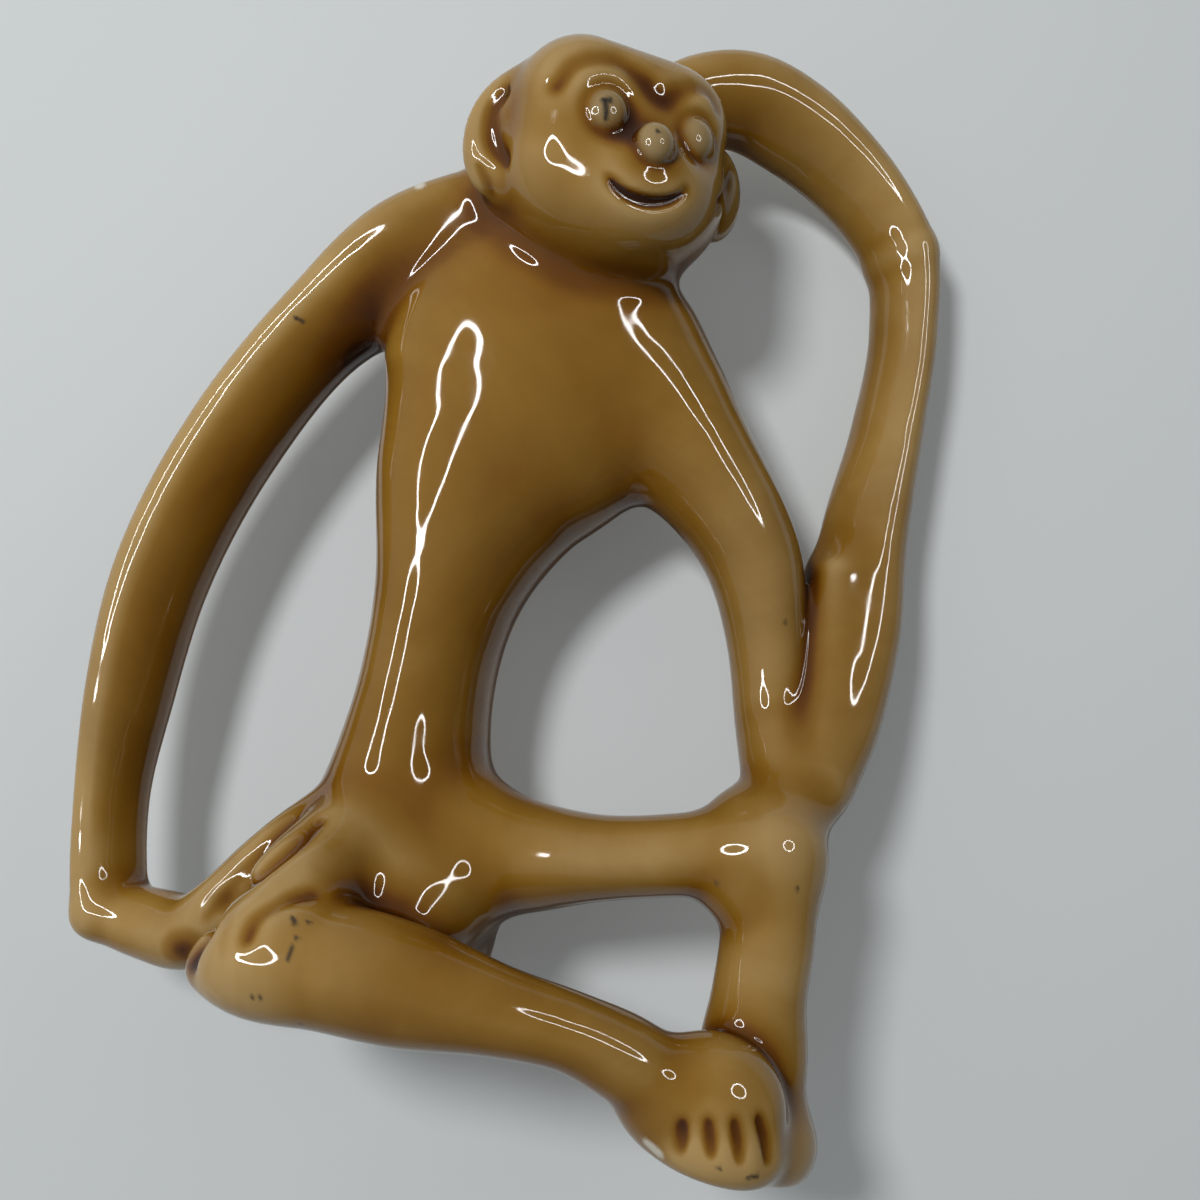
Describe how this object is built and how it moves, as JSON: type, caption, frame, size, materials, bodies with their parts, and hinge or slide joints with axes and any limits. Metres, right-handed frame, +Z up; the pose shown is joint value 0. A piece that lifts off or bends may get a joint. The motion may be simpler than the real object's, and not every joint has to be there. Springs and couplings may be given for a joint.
{
  "type": "seated monkey figurine",
  "caption": "Glazed earthenware monkey figurine, seated with one leg crossed, one elbow on its raised knee and that hand at its head; an ornament to stand on a shelf.",
  "frame": {"origin": "on the ground under the middle of the figure's box", "axes": "+Z up, the figure faces -Y, +X towards the figure's left, where its raised knee is"},
  "size_m": [0.1486, 0.065, 0.1983],
  "materials": {
    "honey_glaze": "high gloss honey brown glaze, darker where it pools",
    "pale_glaze": "high gloss glaze, thin and pale over the raised pellets"
  },
  "bodies": {
    "root": {"torso": "honey_glaze", "head": "honey_glaze", "right_ear": "honey_glaze", "left_ear": "honey_glaze", "right_eye": "pale_glaze", "left_eye": "pale_glaze", "nose": "pale_glaze", "right_arm": "honey_glaze", "right_hand": "honey_glaze", "left_upper_arm": "honey_glaze", "left_forearm": "honey_glaze", "left_hand": "honey_glaze", "right_thigh": "honey_glaze", "right_shin": "honey_glaze", "right_foot": "honey_glaze", "left_thigh": "honey_glaze", "left_shin": "honey_glaze", "left_foot": "honey_glaze"}
  },
  "joints": []
}
